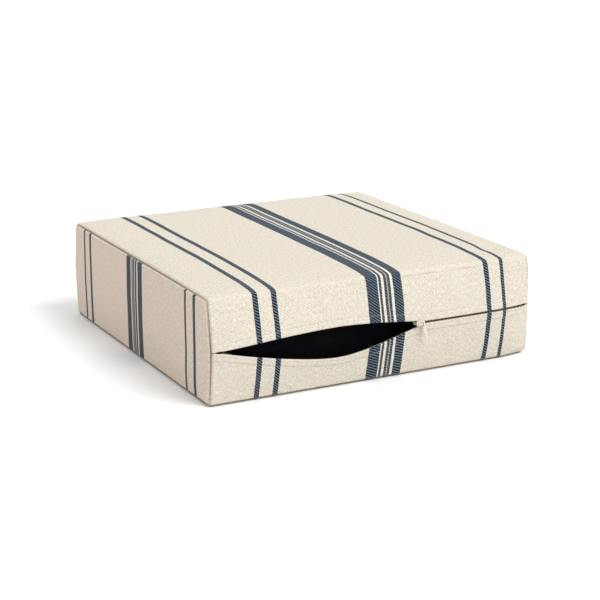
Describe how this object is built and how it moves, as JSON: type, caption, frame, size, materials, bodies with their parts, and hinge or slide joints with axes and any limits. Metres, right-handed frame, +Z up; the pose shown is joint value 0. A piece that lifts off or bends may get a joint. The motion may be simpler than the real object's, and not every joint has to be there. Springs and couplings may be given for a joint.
{
  "type": "floor cushion",
  "caption": "Square box floor cushion: striped woven cover with a part-open concealed zip across its front, over a black-cased foam insert.",
  "frame": {"origin": "middle of the base, on the surface that the cushion stands on", "axes": "+X along the zipped front from its open to its closed end, the zipped front faces -Y, +Z up"},
  "size_m": [0.506, 0.525, 0.15],
  "materials": {
    "cover_cloth": "cream twill with woven navy, charcoal and white stripes",
    "zip_tape": "narrow woven tape",
    "zip_coil": "nylon coil, satin",
    "zip_stop": "satin",
    "zip_enamel": "cream enamel, semi-gloss",
    "casing_cloth": "plain black cloth, matt",
    "wadding": "polyester wadding",
    "foam": "open-cell foam"
  },
  "bodies": {
    "cover": {"top_panel": "cover_cloth", "bottom_panel": "cover_cloth", "left_side_panel": "cover_cloth", "right_side_panel": "cover_cloth", "upper_top_stop": "zip_stop", "lower_top_stop": "zip_stop", "bottom_stop": "zip_stop", "casing_upper": "casing_cloth", "casing_lower": "casing_cloth", "fibre_wrap": "wadding", "foam_core": "foam"},
    "upper_lip": {"upper_zip_tape": "zip_tape", "upper_zip_coil": "zip_coil"},
    "lower_lip": {"lower_zip_tape": "zip_tape", "lower_zip_coil": "zip_coil"},
    "zip_slider": {"zip_slider": "zip_enamel"},
    "zip_pull": {"zip_pull_tab": "zip_enamel"}
  },
  "joints": [
    {"name": "zip_slide", "type": "slide", "parent": "cover", "child": "zip_slider", "axis": [1, 0, 0], "range_m": [-0.281, 0.161]},
    {"name": "pull_flip", "type": "hinge", "parent": "zip_slider", "child": "zip_pull", "pos_m": [0.0627, -0.2602, 0.075], "axis": [-1, 0, 0], "range_deg": [-4, 175]},
    {"name": "upper_lip_rise", "type": "slide", "parent": "cover", "child": "upper_lip", "axis": [0, 0, 1], "range_m": [-0.0105, 0.0065], "deforming": ["upper_zip_tape", "upper_zip_coil"]},
    {"name": "lower_lip_drop", "type": "slide", "parent": "cover", "child": "lower_lip", "axis": [0, 0, -1], "range_m": [-0.031, 0.019], "deforming": ["lower_zip_tape", "lower_zip_coil"]}
  ],
  "couplings": [
    {"joint": "upper_lip_rise", "follows": "zip_slide", "ratio": 0.03559},
    {"joint": "lower_lip_drop", "follows": "zip_slide", "ratio": 0.10854}
  ]
}
